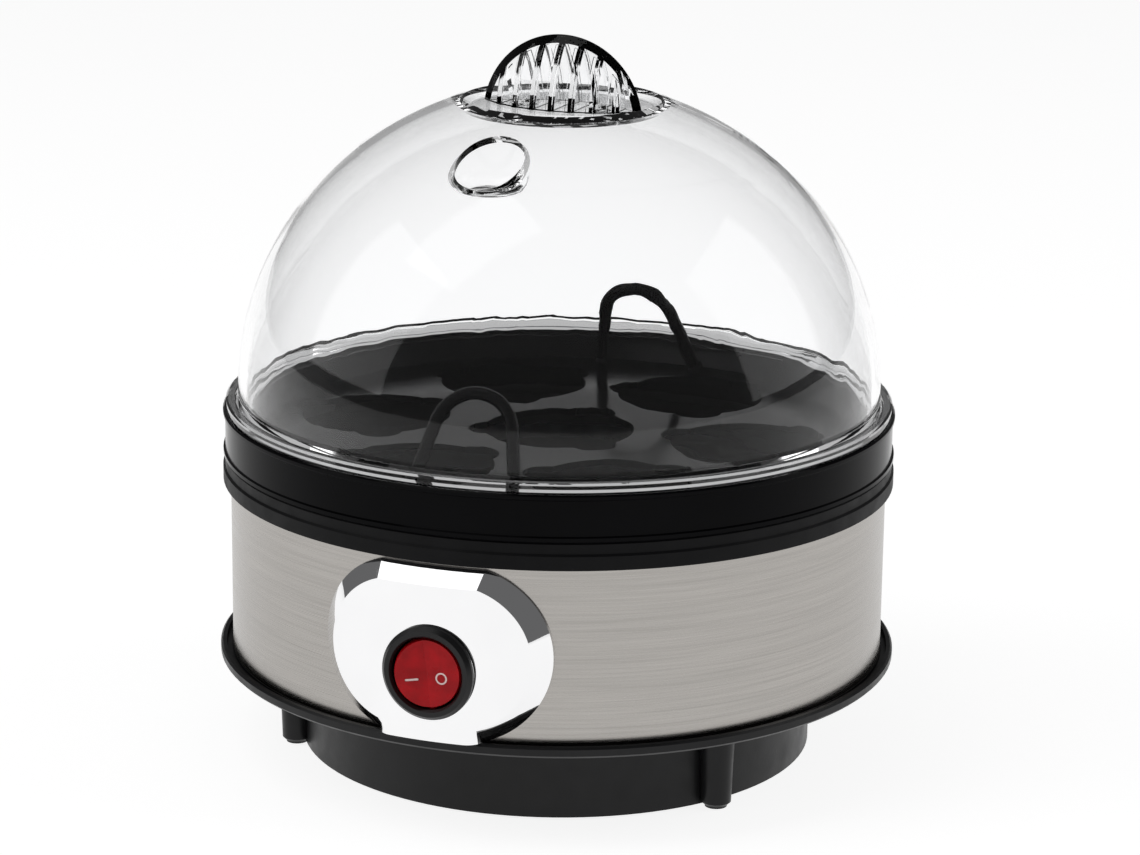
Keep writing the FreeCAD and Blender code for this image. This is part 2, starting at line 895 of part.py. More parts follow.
def control_panel():
    """Bright trim plate: a bevelled shell that follows the band, held by two pegs."""
    outside = panel_block("PanelOutside", dim(0))
    inside = panel_block("PanelInside", size.panel_wall)
    drum = cylinder("PanelSeat", size.band_radius + 0.05, 60, (0, 0, 20))
    shell = cut("PanelShell", cut("PanelHollow", outside, inside), drum)
    at_switch = (size.switch_across, -size.panel_face, size.switch_height)
    pieces = [shell, cylinder("SwitchSeat", size.bezel_radius - 0.3, 3, at_switch, "back")]
    for side in (-1, 1):
        across = size.panel_peg_spacing * (side / 2)
        pieces.append(cylinder("PanelPeg", 1.5, 9.8, (across, -PEG_START, size.panel_centre), "back"))
    hole = cylinder(
        "PanelHole",
        size.barrel_radius + 0.2,
        30,
        (size.switch_across, -95, size.switch_height),
        "back",
    )
    plate = cut("ControlPanel", fuse("PanelWithPegs", pieces), hole)
    return node(place(plate, PANEL_FRAME), "control_panel")


def panel_push_nuts():
    nuts = []
    for side in (-1, 1):
        across = size.panel_peg_spacing * (side / 2)
        disc = cylinder("PushNutDisc", 3.2, 0.6, (across, -76.2, size.panel_centre), "back")
        bore = cylinder("PushNutBore", 1.5, 3, (across, -77.5, size.panel_centre), "back")
        nuts.append(cut("PushNut", disc, bore))
    return node(place(group("PanelPushNuts", nuts), PANEL_FRAME), "panel_push_nuts")


def switch_body():
    """Round snap-in switch housing: bezel, barrel and an open pocket for the rocker."""
    face = size.panel_face
    pocket = size.rocker_pocket_radius
    back = size.barrel_back
    casing = turned_body(
        "SwitchCasing",
        [
            (0, -back),
            (size.barrel_radius, -back),
            (size.barrel_radius, -face),
            (size.bezel_radius, -face),
            (size.bezel_radius, -face - 1.0),
            (size.bezel_radius - 0.9, -face - 2.0),
            (pocket + 0.5, -face - 2.0),
            (pocket, -face - 1.3),
            (pocket, -back - 2),
            (0, -back - 2),
        ],
        "XY_Plane",
    )
    sockets = cylinder(
        "TrunnionSockets",
        size.trunnion_radius + 0.05,
        19.5,
        (0, -size.rocker_pivot, -9.75),
    )
    slots = [box("BladeSlot", (0.8, 6, 4.8), (x - 0.4, -back - 4, -2.4)) for x in (-5, 0, 5)]
    casing_cut = cut("SwitchBody", casing, fuse("SwitchOpenings", [sockets] + slots))
    return node(place(casing_cut, SWITCH_FRAME), "switch_body")


def switch_terminals():
    """Three blades through the back of the switch, with their contact tips inside."""
    back = size.barrel_back
    blades = [box("Blade", (0.8, 12, 4.8), (x - 0.4, -back - 4, -2.4)) for x in (-5, 0, 5)]
    return node(place(group("SwitchTerminals", blades), SWITCH_FRAME), "switch_terminals")


def switch_lamp():
    """Neon indicator that lights the red rocker from behind."""
    back = size.barrel_back
    lamp = cylinder("Lamp", 1.7, 5, (0, -back - 7.2, 5.4), "back")
    stem = cylinder("LampStem", 0.7, 2.4, (0, -back - 4.4, 5.4), "back")
    return node(place(fuse("SwitchLamp", [lamp, stem]), SWITCH_FRAME), "switch_lamp")


MARK_REACH = 3.5
MARK_LEVEL = -1.2


def rocker_marks():
    """Shallow engraving: a dash on the raised half and a ring on the pressed half."""
    face = size.panel_face + 1.2
    slope = size.rocker_bend.value
    rise = MARK_REACH * math.tan(math.radians(slope))
    dash = place(
        group("MarkDashTurned", [box("MarkDash", (3.3, 0.25, 0.6), (-1.65, -0.02, -0.3))]),
        Placement(
            Vector(-MARK_REACH, -face.value - rise, MARK_LEVEL), Rotation(Vector(0, 0, 1), slope)
        ),
    )
    ring = cylinder("MarkDisc", 1.5, 0.25, (MARK_REACH, -face - 0.02, MARK_LEVEL), "back")
    core = cylinder("MarkCore", 1.0, 2, (MARK_REACH, -face - 1, MARK_LEVEL), "back")
    return fuse("RockerMarks", [dash, cut("MarkRing", ring, core)])


def switch_rocker():
    """Rocker with a ball-shaped edge about its pivot, standing with its right half pressed."""
    front = size.panel_face + 1.2
    half = 9.0
    lift = half * math.tan(math.radians(size.rocker_bend.value))
    key = new_body("RockerKey")
    sketch = new_sketch(key, "XY_Plane", "RockerProfile")
    draw_outline(
        sketch,
        [
            (-half, -front - lift),
            (0, -front),
            (half, -front),
            (half, -size.rocker_pivot + 3.5),
            (-half, -size.rocker_pivot + 3.5),
        ],
    )
    pad = key.newObject("PartDesign::Pad", "RockerBlock")
    pad.Profile = sketch
    pad.Length = 2 * half
    pad.Midplane = True
    ball = sphere("RockerBall", size.rocker_radius, (0, -size.rocker_pivot, 0))
    pins = cylinder("Trunnions", size.trunnion_radius, 19.2, (0, -size.rocker_pivot, -9.6))
    solid = fuse("RockerSolid", [common("RockerForm", [key, ball]), pins])
    rocker = cut("SwitchRocker", solid, rocker_marks())
    return node(place(rocker, SWITCH_FRAME), "switch_rocker")


# ---------------------------------------------------------------------------------------------
# Wiring inside the drum
# ---------------------------------------------------------------------------------------------
BLOCK_CENTRE = (0, 30)
BLOCK_POLES = (-9, 0, 9)


def terminal_block():
    """Three-pole screw block on the floor of the drum."""
    x, y = BLOCK_CENTRE
    body = box("BlockBody", (30, 16, 12), (x - 15, y - 8, size.floor_top))
    openings = []
    for pole in BLOCK_POLES:
        for row in (-4.5, 4.5):
            at = (x + pole, y + row, size.floor_top + 6)
            openings.append(cylinder("BlockWell", 2.1, 8, at))
        wire_bore = (x + pole, y - 9, size.floor_top + 4.5)
        openings.append(cylinder("BlockBore", 1.6, 18, wire_bore, "back"))
    return node(cut("TerminalBlock", body, fuse("BlockOpenings", openings)), "terminal_block")


def terminal_screws():
    x, y = BLOCK_CENTRE
    screws = []
    for pole in BLOCK_POLES:
        for row in (-4.5, 4.5):
            at = (x + pole, y + row, size.floor_top + 6.2)
            blank = cylinder("TerminalScrewBlank", 2.0, 3, at)
            slot = box("TerminalSlot", (5, 0.7, 1), (at[0] - 2.5, at[1] - 0.35, at[2] + 2.2))
            screws.append(cut("TerminalScrew", blank, slot))
    return node(group("TerminalScrews", screws), "terminal_screws")


LEAD_RADIUS = 1.1


def tangent_path(points):
    """Straight runs joined by arcs as large as the runs allow."""
    corners = [Vector(*point) for point in points]
    edges = []
    start = corners[0]
    for before, corner, after in zip(corners, corners[1:], corners[2:]):
        incoming = (corner - before).normalize()
        outgoing = (after - corner).normalize()
        half_turn = incoming.getAngle(outgoing) / 2
        reach = 0.45 * min((corner - before).Length, (after - corner).Length)
        entry = corner - incoming * reach
        leave = corner + outgoing * reach
        toward = (outgoing - incoming).normalize()
        radius = reach / math.tan(half_turn)
        middle = corner + toward * (radius / math.cos(half_turn) - radius)
        edges.append(Part.LineSegment(start, entry).toShape())
        edges.append(Part.Arc(entry, middle, leave).toShape())
        start = leave
    edges.append(Part.LineSegment(start, corners[-1]).toShape())
    return Part.Wire(edges)


def lead(label, points):
    """An insulated lead along its own route."""
    path = tangent_path(points)
    heading = Vector(*points[1]) - Vector(*points[0])
    section = Part.Wire(Part.Circle(Vector(*points[0]), heading, LEAD_RADIUS).toShape())
    wire = doc.addObject("Part::Feature", label.title().replace("_", ""))
    wire.Shape = path.makePipeShell([section], True, False)
    return node(wire, label)


def leads():
    """Leads from the terminal block to the switch, the heater, the thermostat and the earth."""
    blades = [
        SWITCH_FRAME.multVec(Vector(x, -size.barrel_back.value + 7, -2.4)) for x in (-5, 5)
    ]
    pins = [(x.value, y.value) for x, y in heater_ends()]
    front = BLOCK_CENTRE[1] - 8
    level = SIZES["floor_top"] + 4.5
    blade_foot = heater_level().value - 14
    live, earth, neutral = [BLOCK_CENTRE[0] + pole for pole in BLOCK_POLES]
    left, right = blades
    lead(
        "lead_live",
        [
            (live, front, level),
            (live, front - 12, level),
            (live - 8, front - 30, level + 2),
            (live - 10, front - 50, level + 7),
            (left.x + 5, left.y + 14, 24),
            (left.x, left.y, 31),
            (left.x, left.y, left.z),
        ],
    )
    lead(
        "lead_switched",
        [
            (right.x, right.y, right.z),
            (right.x, right.y, 31),
            (right.x + 6, right.y + 15, 25),
            (8, -22, 20),
            (23, 3, 19),
            (pins[1][0], pins[1][1] - 9, 19),
            (pins[1][0], pins[1][1], 23),
            (pins[1][0], pins[1][1], 32),
        ],
    )
    lead(
        "lead_return",
        [
            (pins[0][0], pins[0][1], 32),
            (pins[0][0], pins[0][1], 25),
            (-14, 24, 22),
            (-5, 12, 24),
            (0, 6, 28),
            (0, 6, blade_foot),
        ],
    )
    lead(
        "lead_neutral",
        [
            (0, -6, blade_foot),
            (0, -6, 27),
            (7, -7, 20),
            (13, 0, 14),
            (neutral, front - 9, level),
            (neutral, front, level),
        ],
    )
    lead(
        "lead_earth",
        [
            (earth, front, level),
            (earth, front - 9, level),
            (-9, 4, 15),
            (-22, 7, 22),
            (*EARTH_POINT, 27),
            (*EARTH_POINT, size.shield_floor.value - 2),
        ],
    )


# ---------------------------------------------------------------------------------------------
# Egg tray and its two handles
# ---------------------------------------------------------------------------------------------
OUTER_EGGS = 6
HANDLE_PEG = 1.3
HANDLE_COLLAR = 2.2


def handle_azimuths():
    return (("front", size.handle_front_azimuth), ("rear", size.handle_rear_azimuth))


def handle_feet(azimuth):
    """Where the two ends of a handle stand on the tray, as x and y."""
    x, y = around(size.handle_circle, azimuth)
    feet = []
    for side in (-1, 1):
        across = size.handle_half_span * side
        feet.append((x - across * sine(azimuth), y + across * cosine(azimuth)))
    return feet


def egg_tray():
    slope = (size.tray_rim_inner - size.tray_floor_radius) / (size.tray_top - size.tray_floor)
    bead = size.tray_bottom + 1.5
    underside = size.tray_floor - size.tray_sheet
    spigot_inner = size.spigot_radius - size.tray_sheet
    wall_outside = size.tray_floor_radius + 2.0
    spigot_top = size.tray_floor + (size.spigot_radius - wall_outside) / slope
    rim_under = size.tray_top - size.tray_sheet
    rim_wall = wall_outside + slope * (rim_under - size.tray_floor)
    skirt = size.tray_radius - 0.5
    tray = turned_body(
        "Tray",
        [
            (0, underside),
            (spigot_inner, underside),
            (spigot_inner, size.spigot_bottom),
            (size.spigot_radius, size.spigot_bottom),
            (size.spigot_radius, spigot_top),
            (rim_wall, rim_under),
            (skirt - size.tray_sheet, rim_under),
            (skirt - size.tray_sheet, size.tray_bottom),
            (size.tray_radius - 0.3, size.tray_bottom),
            (size.tray_radius, size.tray_bottom + 0.3),
            (size.tray_radius, bead - 0.3),
            (skirt, bead),
            (skirt, size.tray_top - 1.6),
            (size.tray_radius, size.tray_top - 1.1),
            (size.tray_radius, size.tray_top - 0.4),
            (size.tray_radius - 0.4, size.tray_top),
            (size.tray_rim_inner, size.tray_top),
            (size.tray_floor_radius, size.tray_floor),
            (0, size.tray_floor),
        ],
    )
    above = size.tray_floor + 1
    depth = size.tray_sheet + 2

    def notches(x, y, heading):
        """Three rounded steam notches in the edge of the egg hole at x, y."""
        circles = []
        for turn in range(3):
            along, up = around(size.notch_offset, heading + 120 * turn)
            circles.append((x + along, y + up, size.notch_radius))
        return circles

    x, y = around(size.egg_circle, size.egg_hole_azimuth)
    hole = pocket_circles(tray, "EggHole", [(x, y, size.egg_hole_radius)], above, depth)
    repeat_round(tray, "EggHoles", [hole], OUTER_EGGS)
    pocket_circles(tray, "CentreHole", [(0, 0, size.egg_hole_radius)], above, depth)
    all_notches = notches(0, 0, size.centre_notch_azimuth)
    for turn in range(OUTER_EGGS):
        azimuth = size.egg_hole_azimuth + 360 / OUTER_EGGS * turn
        all_notches += notches(*around(size.egg_circle, azimuth), size.notch_azimuth)
    pocket_circles(tray, "EggNotches", all_notches, above, depth)
    pegs = []
    for _, azimuth in handle_azimuths():
        pegs += [(x, y, HANDLE_PEG) for x, y in handle_feet(azimuth)]
    pocket_circles(tray, "HandlePegHoles", pegs, above, depth)
    return node(tray, "egg_tray")



def tray_handle(side, azimuth):
    """Round-topped arch of rod that leans towards the middle, with a cone and a peg at each foot."""
    span = size.handle_half_span
    bow = size.handle_bow
    top = size.handle_height - size.handle_rod
    centre = top - bow
    # The legs are straight and touch the bow: the tangent from a foot to the bow's circle.
    reach = root(span * span + centre * centre)
    foot_angle = math.degrees(math.atan2(centre.value, span.value))
    bow_angle = math.degrees(math.asin(bow.value / reach.value))
    leg_angle = 180 - foot_angle - bow_angle
    touch_x = bow.value * math.sin(math.radians(leg_angle))
    touch_z = centre.value - bow.value * math.cos(math.radians(leg_angle))
    body = new_body(f"Handle{side}Rod")
    spine = new_sketch(body, "XZ_Plane", f"Handle{side}Spine")
    draw_outline(
        spine,
        [
            (span, 0),
            (touch_x, touch_z, bow),
            (0, top, bow),
            (-touch_x, touch_z),
            (-span, 0),
        ],
        closed=False,
    )
    section = new_sketch(body, "XY_Plane", f"Handle{side}Section")
    draw_circles(section, [(span, 0, size.handle_rod)])
    pipe = body.newObject("PartDesign::AdditivePipe", f"Handle{side}Pipe")
    pipe.Profile = section
    pipe.Spine = spine
    x, y = around(size.handle_circle, azimuth)
    upright = Placement(
        Vector(x.value, y.value, size.tray_floor.value),
        Rotation(Vector(0, 0, 1), azimuth.value - 90),
    )
    lean = Placement(Vector(), Rotation(Vector(1, 0, 0), size.handle_lean.value))
    body.Placement = upright * lean
    pieces = [body]
    for foot_x, foot_y in handle_feet(azimuth):
        collar = primitive(
            "Part::Cone",
            "HandleCollar",
            {"Radius1": size.handle_rod + 0.8, "Radius2": size.handle_rod, "Height": HANDLE_COLLAR},
            (foot_x, foot_y, size.tray_floor),
        )
        peg_bottom = size.tray_floor - size.tray_sheet - 0.8
        head = cylinder("HandleRivet", HANDLE_PEG + 0.9, 0.8, (foot_x, foot_y, peg_bottom))
        peg = cylinder("HandlePeg", HANDLE_PEG, size.tray_sheet + 1, (foot_x, foot_y, peg_bottom))
        pieces += [collar, head, peg]
    whole = fuse(f"Handle{side}Whole", pieces)
    # Nothing of the leaning rod reaches below the tray floor.
    below = box("HandleTrim", (40, 40, 6), (x - 20, y - 20, size.tray_floor - 6))
    rod_only = cut(f"Handle{side}Upper", whole, below)
    pegs = [piece for piece in pieces[1:] if piece.TypeId == "Part::Cylinder"]
    return node(fuse(f"Handle{side}", [rod_only] + pegs), f"tray_handle_{side}")


# ---------------------------------------------------------------------------------------------
# Lid: clear dome with a flange, a recess on top, and a steam vent pocket
# ---------------------------------------------------------------------------------------------
def crown_height(radius, bow):
    """Height of the crown surface of this bow at a distance from the axis."""
    return size.dome_crown_level + root(bow * bow - radius * radius)


def bow_meeting(inset):
    """Where the side bow passes into the crown bow, for the dome made smaller by inset."""
    side_offset = size.dome_radius - size.dome_side_bow
    level_step = size.dome_side_level - size.dome_crown_level
    between = root(side_offset * side_offset + level_step * level_step)
    bow = size.dome_crown_bow - inset
    x = bow * side_offset / between
    z = size.dome_crown_level + bow * level_step / between
    return x, z


def vent_form(name, outset):
    """The vent's round-bottomed pocket, made larger by outset."""
    radius = size.vent_radius + outset
    bow = size.vent_round + outset
    floor = size.vent_floor - outset
    top = size.vent_floor + 40
    form = turned_body(
        name,
        [(0, floor), (radius - bow, floor, bow), (radius, floor + bow), (radius, top), (0, top)],
    )
    x, y = around(size.vent_reach, size.vent_azimuth)
    return place(group(name + "Placed", [form]), Placement(Vector(x.value, y.value, 0), Rotation()))


def lid_dome():
    wall = size.lid_wall
    meet_x, meet_z = bow_meeting(dim(0))
    inner_x, inner_z = bow_meeting(wall)
    rim = size.recess_rim_radius
    inner_rim = rim + 1.4
    crown = size.dome_crown_bow
    lip = size.dome_radius - 2.4
    shell = turned_body(
        "DomeShell",
        [
            (0, size.recess_floor),
            (size.recess_radius, size.recess_floor),
            (rim, crown_height(rim, crown), -crown),
            (meet_x, meet_z, -size.dome_side_bow),
            (size.dome_radius, size.dome_side_level),
            (size.dome_radius, size.lid_flange_top + 0.8),
            (size.dome_radius + 0.8, size.lid_flange_top),
            (size.lid_flange_radius - 0.5, size.lid_flange_top),
            (size.lid_flange_radius, size.lid_flange_top - 0.5),
            (size.lid_flange_radius, size.lid_bottom + 0.3),
            (size.lid_flange_radius - 0.3, size.lid_bottom),
            (lip, size.lid_bottom),
            (lip, size.lid_bottom - 1.4),
            (lip - 1.4, size.lid_bottom - 1.4),
            (lip - 1.4, size.lid_bottom + 1.0),
            (size.dome_radius - wall, size.lid_flange_top + 0.4),
            (size.dome_radius - wall, size.dome_side_level, size.dome_side_bow - wall),
            (inner_x, inner_z, crown - wall),
            (inner_rim, crown_height(inner_rim, crown - wall)),
            (size.recess_radius + 1.4, size.recess_floor - wall),
            (0, size.recess_floor - wall),
        ],
    )
    envelope = turned_body(
        "DomeEnvelope",
        [
            (0, size.lid_flange_top),
            (size.dome_radius, size.lid_flange_top),
            (size.dome_radius, size.dome_side_level, size.dome_side_bow),
            (meet_x, meet_z, crown),
            (rim, crown_height(rim, crown)),
            (0, crown_height(rim, crown)),
        ],
    )
    x, y = around(size.vent_reach, size.vent_azimuth)
    cup = common("VentCupInside", [envelope, vent_form("VentCup", size.vent_wall)])
    pocket = vent_form("VentPocket", dim(0))
    hole = cylinder("VentHole", size.vent_hole_radius, 10, (x, y, size.vent_floor - 5))
    peg_holes = []
    for peg_x, peg_y in knob_pegs():
        peg_holes.append(cylinder("KnobPegHole", 1.5, 8, (peg_x, peg_y, size.recess_floor - 5)))
    openings = fuse("LidOpenings", [pocket, hole] + peg_holes)
    return node(cut("LidDome", fuse("DomeWithCup", [shell, cup]), openings), "lid_dome")


def knob_pegs():
    return [around(size.knob_peg_offset * side, size.knob_azimuth) for side in (-1, 1)]


def lid_knob():
    """Hollow half of a double-bulged disc in the lid's recess, with upright webs that end in ribs."""
    bulge = size.knob_bulge
    face_radius = (size.knob_radius * size.knob_radius + bulge * bulge) / (2 * bulge)
    offset = face_radius - bulge
    level = size.knob_level
    floor = size.recess_floor
    above = box("KnobAbove", (60, 60, 30), (-30, -30, floor))
    faces = [sphere("KnobFace", face_radius, (0, offset * side, level)) for side in (-1, 1)]
    hollow_faces = [
        sphere("HollowFace", face_radius - size.knob_wall, (0, offset * side, level))
        for side in (-1, 1)
    ]
    lens = cut("KnobShell", common("KnobLens", faces + [above]), common("KnobHollow", hollow_faces))
    proud = 0.45
    rib_faces = [
        sphere("RibFace", face_radius + proud, (0, offset * side, level)) for side in (-1, 1)
    ]
    rib_limit = cylinder("RibLimit", size.knob_radius - 2.2, 60, (0, -30, level), "back")
    rib_above = box("RibAbove", (60, 60, 30), (-30, -30, floor))
    slabs = []
    for number in range(-3, 4):
        left = size.knob_rib_pitch * number - 0.8
        slabs.append(box("RibSlab", (1.6, 60, 40), (left, -30, level)))
    rib_slabs = fuse("RibSlabs", slabs)
    ribs = common("KnobRibs", rib_faces + [rib_limit, rib_above, rib_slabs])
    pegs = []
    peg_bottom = floor - size.lid_wall
    for side in (-1, 1):
        across = size.knob_peg_offset * side
        pegs.append(cylinder("KnobPeg", 1.5, size.lid_wall + 1, (across, 0, peg_bottom)))
        pegs.append(cylinder("KnobRivet", 2.6, 0.7, (across, 0, peg_bottom - 0.7)))
    knob = fuse("LidKnob", [lens, ribs] + pegs)
    knob.setExpression("Placement.Rotation.Angle", size.knob_azimuth.formula)
    return node(knob, "lid_knob")


# ---------------------------------------------------------------------------------------------
# Build, check and write
# ---------------------------------------------------------------------------------------------
def build():
    base_cover()
    foot_pads()
    cover_screws()
    cord_gland()
    steel_band()
    upper_housing()
    heating_plate()
    plate_seal()
    plate_studs()
    plate_nuts()
    heater_tube()
    heater_pins()
    heat_spreader()
    thermostat()
    thermostat_bracket()
    bracket_screws()
    thermal_fuse()
    heat_shield()
    earth_screw()
    control_panel()
    panel_push_nuts()
    switch_body()
    switch_terminals()
    switch_lamp()
    switch_rocker()
    terminal_block()
    terminal_screws()
    leads()
    egg_tray()
    for side, azimuth in handle_azimuths():
        tray_handle(side, azimuth)
    lid_dome()
    lid_knob()
    doc.recompute()


def check():
    """Stop on any failed object or bad shape."""
    for thing in doc.Objects:
        if "Invalid" in thing.State or "Error" in thing.State:
            raise RuntimeError(f"{thing.Name} failed: {thing.State}")
    for thing in NODES:
        if thing.Shape.isNull() or not thing.Shape.isValid():
            raise RuntimeError(f"{thing.Label} has a bad shape")


def write():
    os.makedirs("parts", exist_ok=True)
    for thing in NODES:
        thing.Shape.exportStep(f"parts/{thing.Label}.step")
        solids = len(thing.Shape.Solids)
        print(f"{thing.Label}: {solids} solids, {thing.Shape.Volume / 1000:.2f} cm3")


build()
check()
write()
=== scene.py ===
import math

import bmesh
import bpy
from mathutils import Matrix, Vector


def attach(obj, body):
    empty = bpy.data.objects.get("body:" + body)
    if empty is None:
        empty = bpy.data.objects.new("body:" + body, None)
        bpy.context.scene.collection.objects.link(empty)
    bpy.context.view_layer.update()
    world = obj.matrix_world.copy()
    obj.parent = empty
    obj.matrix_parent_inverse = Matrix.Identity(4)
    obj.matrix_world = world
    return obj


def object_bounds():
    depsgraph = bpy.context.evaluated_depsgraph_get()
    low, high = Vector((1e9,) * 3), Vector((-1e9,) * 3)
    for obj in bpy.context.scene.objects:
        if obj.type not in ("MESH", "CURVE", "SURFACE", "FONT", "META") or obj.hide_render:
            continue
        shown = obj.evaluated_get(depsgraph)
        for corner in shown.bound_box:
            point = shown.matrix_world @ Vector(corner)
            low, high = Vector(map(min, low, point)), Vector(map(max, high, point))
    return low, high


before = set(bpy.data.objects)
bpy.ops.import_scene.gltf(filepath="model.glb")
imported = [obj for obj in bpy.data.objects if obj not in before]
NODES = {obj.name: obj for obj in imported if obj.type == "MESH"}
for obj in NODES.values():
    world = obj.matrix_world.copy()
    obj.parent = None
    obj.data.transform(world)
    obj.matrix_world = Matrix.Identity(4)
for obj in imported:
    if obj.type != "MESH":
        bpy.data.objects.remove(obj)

CAD_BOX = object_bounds()
MM = 0.001


# ---------------------------------------------------------------------------
# Materials
# ---------------------------------------------------------------------------
# Noise seldom leaves these values, so they stand for its lowest and highest.
COLOR_NOISE = (0.35, 0.65)
SHEEN_NOISE = (0.3, 0.7)

# Brush strokes of the band: cycles a metre along x, y and z, and their shares of the pattern.
FINE_STROKES = (45, 45, 5200)
BROAD_STROKES = (14, 14, 1300)
FINE_SHARE = 0.55
BROAD_SHARE = 0.45


class Paint:
    """A node material with one Principled shader and helpers for procedural detail."""

    def __init__(self, name, color, roughness, **sockets):
        self.material = bpy.data.materials.new(name)
        self.material.use_nodes = True
        self.tree = self.material.node_tree
        self.tree.nodes.clear()
        self.shader = self.add("ShaderNodeBsdfPrincipled")
        output = self.add("ShaderNodeOutputMaterial")
        self.link(self.shader.outputs["BSDF"], output.inputs["Surface"])
        self.coords = self.add("ShaderNodeTexCoord").outputs["Object"]
        self.color = color
        self.roughness = roughness
        self.shader.inputs["Base Color"].default_value = (*color, 1)
        self.shader.inputs["Roughness"].default_value = roughness
        for socket, value in sockets.items():
            self.shader.inputs[socket.replace("_", " ")].default_value = value
        self.bump = None

    def add(self, kind):
        return self.tree.nodes.new(kind)

    def link(self, source, target):
        self.tree.links.new(source, target)

    def noise(self, scale, detail=3, stretch=None):
        """Noise with this many cycles a metre, stretched along the axes if asked."""
        texture = self.add("ShaderNodeTexNoise")
        texture.inputs["Scale"].default_value = scale
        texture.inputs["Detail"].default_value = detail
        if stretch:
            mapping = self.add("ShaderNodeMapping")
            mapping.inputs["Scale"].default_value = stretch
            self.link(self.coords, mapping.inputs["Vector"])
            self.link(mapping.outputs["Vector"], texture.inputs["Vector"])
        else:
            self.link(self.coords, texture.inputs["Vector"])
        return texture.outputs["Fac"]

    def vary_color(self, fac, low, high):
        """Base colour from low to high times the plain colour."""
        ramp = self.add("ShaderNodeValToRGB")
        for element, position, factor in zip(ramp.color_ramp.elements, COLOR_NOISE, (low, high)):
            element.position = position
            element.color = (*[min(1, c * factor) for c in self.color], 1)
        self.link(fac, ramp.inputs["Fac"])
        self.link(ramp.outputs["Color"], self.shader.inputs["Base Color"])

    def vary_roughness(self, fac, spread):
        """Roughness within this spread of the plain roughness."""
        span = self.add("ShaderNodeMapRange")
        span.inputs["From Min"].default_value = SHEEN_NOISE[0]
        span.inputs["From Max"].default_value = SHEEN_NOISE[1]
        span.inputs["To Min"].default_value = max(0.0, self.roughness - spread)
        span.inputs["To Max"].default_value = min(1.0, self.roughness + spread)
        self.link(fac, span.inputs["Value"])
        self.link(span.outputs["Result"], self.shader.inputs["Roughness"])

    def add_bump(self, fac, height_mm, strength=1.0):
        """Bumps of this height, on top of any bumps already there."""
        bump = self.add("ShaderNodeBump")
        bump.inputs["Strength"].default_value = strength
        bump.inputs["Distance"].default_value = height_mm * MM
        self.link(fac, bump.inputs["Height"])
        if self.bump:
            self.link(self.bump, bump.inputs["Normal"])
        self.bump = bump.outputs["Normal"]
        self.link(self.bump, self.shader.inputs["Normal"])


def moulding(name, color, roughness, grain, height, **sockets):
    """Moulded plastic or rubber: fine grain, with uneven sheen and colour."""
    paint = Paint(name, color, roughness, **sockets)
    paint.vary_color(paint.noise(35), 0.8, 1.25)
    paint.vary_roughness(paint.noise(180), 0.06)
    paint.add_bump(paint.noise(grain, 4), height, 0.6)
    return paint.material


def metal(name, color, roughness, grain=900, height=0.02, spread=0.06, tint=0.08):
    """Plain sheet or turned metal: fine rolling marks and uneven sheen."""
    paint = Paint(name, color, roughness, Metallic=1.0)
    paint.vary_color(paint.noise(60), 1 - tint, 1 + tint)
    paint.vary_roughness(paint.noise(250), spread)
    paint.add_bump(paint.noise(grain, 4), height, 0.4)
    return paint.material


def brushed_band():
    """Stainless sheet brushed along its length, round the body."""
    paint = Paint("band_steel", (0.40, 0.382, 0.36), 0.27, Metallic=1.0, Anisotropic=0.55)
    tangent = paint.add("ShaderNodeTangent")
    tangent.direction_type = "RADIAL"
    tangent.axis = "Z"
    paint.link(tangent.outputs["Tangent"], paint.shader.inputs["Tangent"])
    fine = paint.noise(1, 5, FINE_STROKES)
    broad = paint.noise(1, 3, BROAD_STROKES)
    blend = paint.add("ShaderNodeMath")
    blend.operation = "MULTIPLY_ADD"
    blend.inputs[1].default_value = FINE_SHARE
    half = paint.add("ShaderNodeMath")
    half.operation = "MULTIPLY"
    half.inputs[1].default_value = BROAD_SHARE
    paint.link(broad, half.inputs[0])
    paint.link(fine, blend.inputs[0])
    paint.link(half.outputs["Value"], blend.inputs[2])
    strokes = blend.outputs["Value"]
    paint.vary_color(strokes, 0.86, 1.1)
    paint.vary_roughness(strokes, 0.08)
    paint.add_bump(strokes, 0.012, 0.5)
    return paint.material


def clear_plastic():
    """Clear moulded plastic, slightly wavy, with its surface reflection turned down."""
    paint = Paint(
        "clear_plastic",
        (0.995, 0.997, 1.0),
        0.006,
        Transmission_Weight=1.0,
        IOR=1.49,
        Specular_Tint=(0.3, 0.3, 0.3, 1),
    )
    paint.vary_roughness(paint.noise(45), 0.005)
    paint.add_bump(paint.noise(22, 2), 0.25, 0.25)
    return paint.material


def striped_lead(name, color, stripe=None):
    """Lead insulation: satin rubber, with a second colour in stripes if asked."""
    paint = Paint(name, color, 0.42)
    if stripe:
        wave = paint.add("ShaderNodeTexWave")
        wave.wave_type = "BANDS"
        wave.bands_direction = "DIAGONAL"
        wave.inputs["Scale"].default_value = 90
        paint.link(paint.coords, wave.inputs["Vector"])
        ramp = paint.add("ShaderNodeValToRGB")
        ramp.color_ramp.interpolation = "CONSTANT"
        ramp.color_ramp.elements[0].color = (*color, 1)
        ramp.color_ramp.elements[1].position = 0.55
        ramp.color_ramp.elements[1].color = (*stripe, 1)
        paint.link(wave.outputs["Fac"], ramp.inputs["Fac"])
        paint.link(ramp.outputs["Color"], paint.shader.inputs["Base Color"])
    else:
        paint.vary_color(paint.noise(200), 0.85, 1.15)
    paint.vary_roughness(paint.noise(400), 0.07)
    paint.add_bump(paint.noise(2500, 3), 0.02, 0.5)
    return paint.material


